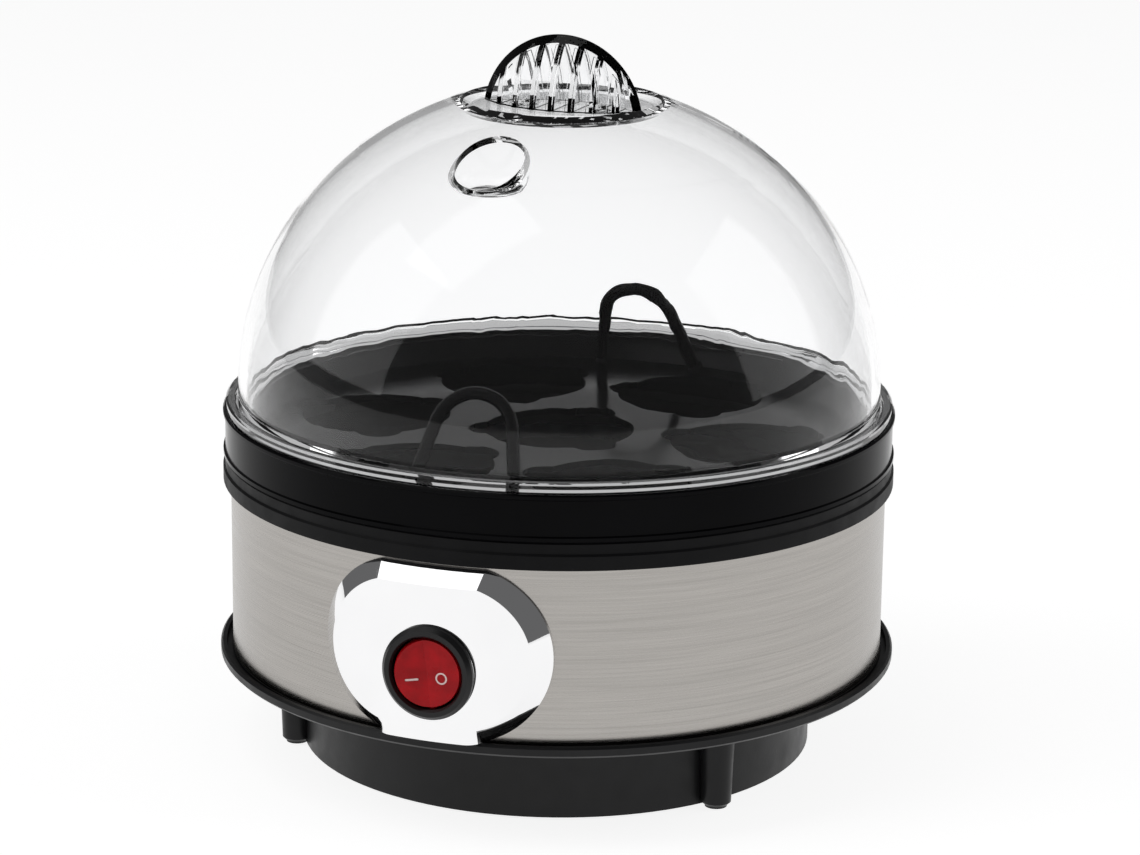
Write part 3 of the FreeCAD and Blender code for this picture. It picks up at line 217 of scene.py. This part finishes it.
def gloss_black(name, roughness, color=(0.002, 0.002, 0.0024)):
    """Glossy black moulding: faint orange peel and handling marks in the sheen.

    The low IOR keeps the bright floor from showing in it at low angles.
    """
    paint = Paint(name, color, roughness, IOR=1.13)
    paint.vary_color(paint.noise(40), 0.8, 1.3)
    paint.vary_roughness(paint.noise(140, 5), 0.035)
    paint.add_bump(paint.noise(260, 2), 0.02, 0.25)
    return paint.material


def rocker_red():
    """Deep red translucent key with a clear gloss."""
    paint = Paint(
        "rocker_red",
        (0.42, 0.002, 0.006),
        0.3,
        Specular_IOR_Level=0.12,
        Coat_Weight=0.08,
        Coat_Roughness=0.1,
    )
    paint.vary_color(paint.noise(220), 0.82, 1.15)
    paint.vary_roughness(paint.noise(500), 0.05)
    paint.add_bump(paint.noise(1500, 3), 0.012, 0.35)
    return paint.material


def lamp_glass():
    """Tinted glass of the lamp in the switch."""
    paint = Paint("lamp_glass", (0.95, 0.55, 0.35), 0.03, Transmission_Weight=0.9, IOR=1.5)
    paint.vary_color(paint.noise(500), 0.85, 1.05)
    paint.vary_roughness(paint.noise(700), 0.02)
    paint.add_bump(paint.noise(900, 2), 0.02, 0.3)
    return paint.material


LOOKS = {
    moulding("base_black", (0.006, 0.006, 0.0065), 0.38, 1500, 0.02, Specular_IOR_Level=0.25): [
        "base_cover",
    ],
    moulding("ring_black", (0.004, 0.004, 0.0045), 0.5, 2600, 0.04, Specular_IOR_Level=0.12): [
        "upper_housing",
    ],
    moulding("foot_rubber", (0.02, 0.02, 0.02), 0.75, 2200, 0.05): [
        "foot_pad_right",
        "foot_pad_left",
        "foot_pad_rear",
        "cord_gland",
    ],
    brushed_band(): ["steel_band"],
    moulding("plate_coating", (0.012, 0.012, 0.0125), 0.4, 1400, 0.03, Specular_IOR_Level=0.2): [
        "heating_plate",
    ],
    moulding("seal_rubber", (0.5, 0.1, 0.07), 0.6, 1800, 0.03): ["plate_seal"],
    metal("zinc_steel", (0.62, 0.63, 0.65), 0.32, 1600): [
        "cover_screws",
        "plate_studs",
        "plate_nuts",
        "heater_pins",
        "thermostat_bracket",
        "bracket_screws",
        "panel_push_nuts",
    ],
    metal("heater_sheath", (0.22, 0.21, 0.19), 0.5, 700, 0.05): ["heater_tube"],
    metal("cast_aluminium", (0.66, 0.67, 0.68), 0.5, 500, 0.08): ["heat_spreader", "thermal_fuse"],
    metal("shield_sheet", (0.7, 0.7, 0.7), 0.35, 300, 0.03): ["heat_shield"],
    moulding("switch_ceramic", (0.8, 0.76, 0.68), 0.7, 1200, 0.06): ["thermostat"],
    metal("contact_brass", (0.72, 0.55, 0.25), 0.3, 1200): [
        "earth_screw",
        "switch_terminals",
        "terminal_screws",
    ],
    metal("panel_chrome", (0.90, 0.90, 0.905), 0.03, 400, 0.001, 0.015, 0.01): ["control_panel"],
    moulding("switch_black", (0.006, 0.006, 0.0065), 0.34, 2400, 0.015, Specular_IOR_Level=0.3): [
        "switch_body",
    ],
    lamp_glass(): ["switch_lamp"],
    rocker_red(): ["switch_rocker"],
    moulding("block_nylon", (0.75, 0.72, 0.64), 0.45, 900, 0.03): ["terminal_block"],
    striped_lead("lead_brown", (0.19, 0.08, 0.035)): ["lead_live", "lead_switched"],
    striped_lead("lead_blue", (0.03, 0.11, 0.38)): ["lead_return", "lead_neutral"],
    striped_lead("lead_green", (0.09, 0.33, 0.06), (0.7, 0.6, 0.05)): ["lead_earth"],
    gloss_black("tray_gloss", 0.12): ["egg_tray"],
    gloss_black("handle_black", 0.22): [
        "tray_handle_front",
        "tray_handle_rear",
    ],
    clear_plastic(): ["lid_dome", "lid_knob"],
}
for look, names in LOOKS.items():
    for name in names:
        for place in NODES[name].material_slots:
            place.material = look


# ---------------------------------------------------------------------------
# The two marks that fill the engraving on the rocker
# ---------------------------------------------------------------------------
MARK_DEPTH = 0.18 * MM
MARK_EDGE = 0.03 * MM


def new_piece(name, mesh_maker, material, body, placement):
    """A piece from a mesh maker, set in its place and riding on a body."""
    mesh = bpy.data.meshes.new(name)
    shape = bmesh.new()
    mesh_maker(shape)
    bmesh.ops.recalc_face_normals(shape, faces=shape.faces)
    shape.transform(placement)
    shape.to_mesh(mesh)
    shape.free()
    piece = bpy.data.objects.new(name, mesh)
    bpy.context.scene.collection.objects.link(piece)
    mesh.materials.append(material)
    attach(piece, body)
    return piece


def extrude_outline(shape, outline, depth, edge):
    """A slab from an outline in x, z: front at y 0 with a small bevelled edge, back at depth."""
    centre = Vector((sum(x for x, _ in outline), 0, sum(z for _, z in outline))) / len(outline)
    rings = []
    for y, inset in ((0, edge), (edge, 0), (depth, 0)):
        ring = []
        for x, z in outline:
            away = Vector((x, 0, z)) - centre
            point = centre + away * (1 - inset / away.length)
            ring.append(shape.verts.new((point.x, y, point.z)))
        rings.append(ring)
    count = len(outline)
    for near, far in zip(rings, rings[1:]):
        for i in range(count):
            j = (i + 1) % count
            shape.faces.new((near[i], near[j], far[j], far[i]))
    shape.faces.new(rings[0])
    shape.faces.new(rings[-1])


def dash_mark(shape):
    """Round-ended bar."""
    half, r = 1.6 * MM, 0.26 * MM
    steps = 12
    outline = []
    for side, start in ((1, -90), (-1, 90)):
        for step in range(steps + 1):
            a = math.radians(start + step * 180 / steps)
            outline.append((side * (half - r) + r * math.cos(a), r * math.sin(a)))
    extrude_outline(shape, outline, MARK_DEPTH, MARK_EDGE)


def ring_mark(shape):
    """Ring with a small bevel on its front edges."""
    inner, outer = 1.04 * MM, 1.46 * MM
    section = [(inner, MARK_DEPTH), (inner, MARK_EDGE), (inner + MARK_EDGE, 0)]
    section += [(outer - MARK_EDGE, 0), (outer, MARK_EDGE), (outer, MARK_DEPTH)]
    count = 72
    rings = []
    for step in range(count):
        a = 2 * math.pi * step / count
        rings.append([shape.verts.new((r * math.cos(a), y, r * math.sin(a))) for r, y in section])
    for i in range(count):
        j = (i + 1) % count
        for k in range(len(section)):
            n = (k + 1) % len(section)
            shape.faces.new((rings[i][k], rings[j][k], rings[j][n], rings[i][n]))


# Degrees and millimetres, as in the CAD model: the key's face is bent at its middle, so the
# ring lies on an upright half and the dash on a half that slopes forward.
PANEL_TURN = -20.4
SWITCH_ROLL = -6.5
SWITCH_PLACE = (0.9, 0, 43.0)
ROCKER_FACE = 88.2
ROCKER_BEND = 17.0
MARK_REACH = 3.5
MARK_LEVEL = -1.2
MARK_SINK = 0.04


def turn(degrees, axis):
    return Matrix.Rotation(math.radians(degrees), 4, axis)


def shift(x, y, z):
    return Matrix.Translation(Vector((x, y, z)) * MM)


switch_frame = turn(PANEL_TURN, "Z") @ shift(*SWITCH_PLACE) @ turn(SWITCH_ROLL, "Y")
rise = MARK_REACH * math.tan(math.radians(ROCKER_BEND))
mark_paint = moulding("mark_white", (0.82, 0.62, 0.60), 0.45, 2500, 0.01)
new_piece(
    "rocker_dash",
    dash_mark,
    mark_paint,
    "rocker",
    switch_frame
    @ shift(-MARK_REACH, -ROCKER_FACE - rise, MARK_LEVEL)
    @ turn(ROCKER_BEND, "Z")
    @ shift(0, MARK_SINK, 0),
)
new_piece(
    "rocker_ring",
    ring_mark,
    mark_paint,
    "rocker",
    switch_frame @ shift(MARK_REACH, -ROCKER_FACE + MARK_SINK, MARK_LEVEL),
)


# ---------------------------------------------------------------------------
# Floor, light and camera
# ---------------------------------------------------------------------------
FLOOR_HALF = 6.0
FLOOR_GAP = 0.0002
FLOOR_GLOW = 0.86
DIM_LIGHT = (0.13, 0.13, 0.132, 1)
WHITE = (1, 1, 1, 1)
MIRROR_LOSS = 0.6
LIGHT_AIM = (0, 0, 0.08)
# Name, place, width and height in metres, and power in watts.
SOFTBOXES = (
    ("key_left", (-1.30, -0.20, 0.75), 1.0, 1.2, 4.2),
    ("fill_right", (1.30, -0.05, 0.70), 1.0, 1.2, 4.2),
    ("overhead", (-0.62, -0.27, 1.35), 0.6, 0.9, 2.2),
)
CAMERA_PLACE = (0.00278, -0.8800, 0.3198)
CAMERA_LENS = 114.2
CAMERA_PITCH = 15.23
CAMERA_ROLL = 0.67


def studio_floor():
    """Wide pale floor that gives off light of its own, so that it looks white."""
    mesh = bpy.data.meshes.new("studio_floor")
    shape = bmesh.new()
    bmesh.ops.create_grid(shape, x_segments=12, y_segments=12, size=FLOOR_HALF)
    shape.to_mesh(mesh)
    shape.free()
    floor = bpy.data.objects.new("studio_floor", mesh)
    bpy.context.scene.collection.objects.link(floor)
    paint = Paint("floor_pale", (0.45, 0.45, 0.45), 0.8, Specular_IOR_Level=0.1)
    paint.shader.inputs["Emission Color"].default_value = WHITE
    paint.shader.inputs["Emission Strength"].default_value = FLOOR_GLOW
    paint.vary_color(paint.noise(3), 0.995, 1.005)
    mesh.materials.append(paint.material)
    floor.location.z = CAD_BOX[0].z - FLOOR_GAP


def softbox(name, at, aim, width, height, power):
    """A flat soft light turned towards a point."""
    light = bpy.data.lights.new(name, "AREA")
    light.shape = "RECTANGLE"
    light.size, light.size_y = width, height
    light.energy = power
    lamp = bpy.data.objects.new(name, light)
    bpy.context.scene.collection.objects.link(lamp)
    lamp.location = at
    lamp.rotation_euler = (Vector(aim) - Vector(at)).to_track_quat("-Z", "Y").to_euler()


def studio_world():
    """White where it is seen straight or through clear plastic, and dim for all other light.

    What is seen through clear plastic after a mirror reflection is dimmed by MIRROR_LOSS.
    """
    world = bpy.data.worlds.new("studio")
    world.use_nodes = True
    bpy.context.scene.world = world
    tree = world.node_tree
    tree.nodes.clear()
    output = tree.nodes.new("ShaderNodeOutputWorld")
    path = tree.nodes.new("ShaderNodeLightPath")

    def step(operation, first, second):
        node = tree.nodes.new("ShaderNodeMath")
        node.operation = operation
        for socket, value in zip(node.inputs, (first, second)):
            if isinstance(value, (int, float)):
                socket.default_value = value
            else:
                tree.links.new(value, socket)
        return node.outputs["Value"]

    unscattered = step("LESS_THAN", path.outputs["Diffuse Depth"], 0.5)
    clear = step("MULTIPLY", path.outputs["Is Transmission Ray"], unscattered)
    mirrored = step("GREATER_THAN", path.outputs["Glossy Depth"], 0.5)
    loss = step("MULTIPLY", mirrored, MIRROR_LOSS)
    through = step("MULTIPLY", clear, step("SUBTRACT", 1.0, loss))
    either = step("MAXIMUM", path.outputs["Is Camera Ray"], through)
    mix = tree.nodes.new("ShaderNodeMixShader")
    dim = tree.nodes.new("ShaderNodeBackground")
    dim.inputs["Color"].default_value = DIM_LIGHT
    white = tree.nodes.new("ShaderNodeBackground")
    white.inputs["Color"].default_value = WHITE
    tree.links.new(either, mix.inputs["Fac"])
    tree.links.new(dim.outputs["Background"], mix.inputs[1])
    tree.links.new(white.outputs["Background"], mix.inputs[2])
    tree.links.new(mix.outputs["Shader"], output.inputs["Surface"])


studio_floor()
studio_world()
for name, at, width, height, power in SOFTBOXES:
    softbox(name, at, LIGHT_AIM, width, height, power)
bpy.context.scene.view_settings.view_transform = "Standard"
# Clear mouldings need long light paths, or their inner reflections end in black.
bpy.context.scene.cycles.max_bounces = 24
bpy.context.scene.cycles.glossy_bounces = 16
bpy.context.scene.cycles.transmission_bounces = 24

camera_data = bpy.data.cameras.new("camera")
camera_data.sensor_width = 36
camera_data.lens = CAMERA_LENS
camera_data.clip_start = 0.01
camera = bpy.data.objects.new("camera", camera_data)
bpy.context.scene.collection.objects.link(camera)
camera.matrix_world = (
    Matrix.Translation(CAMERA_PLACE)
    @ turn(90 - CAMERA_PITCH, "X")
    @ turn(CAMERA_ROLL, "Z")
)
bpy.context.scene.camera = camera
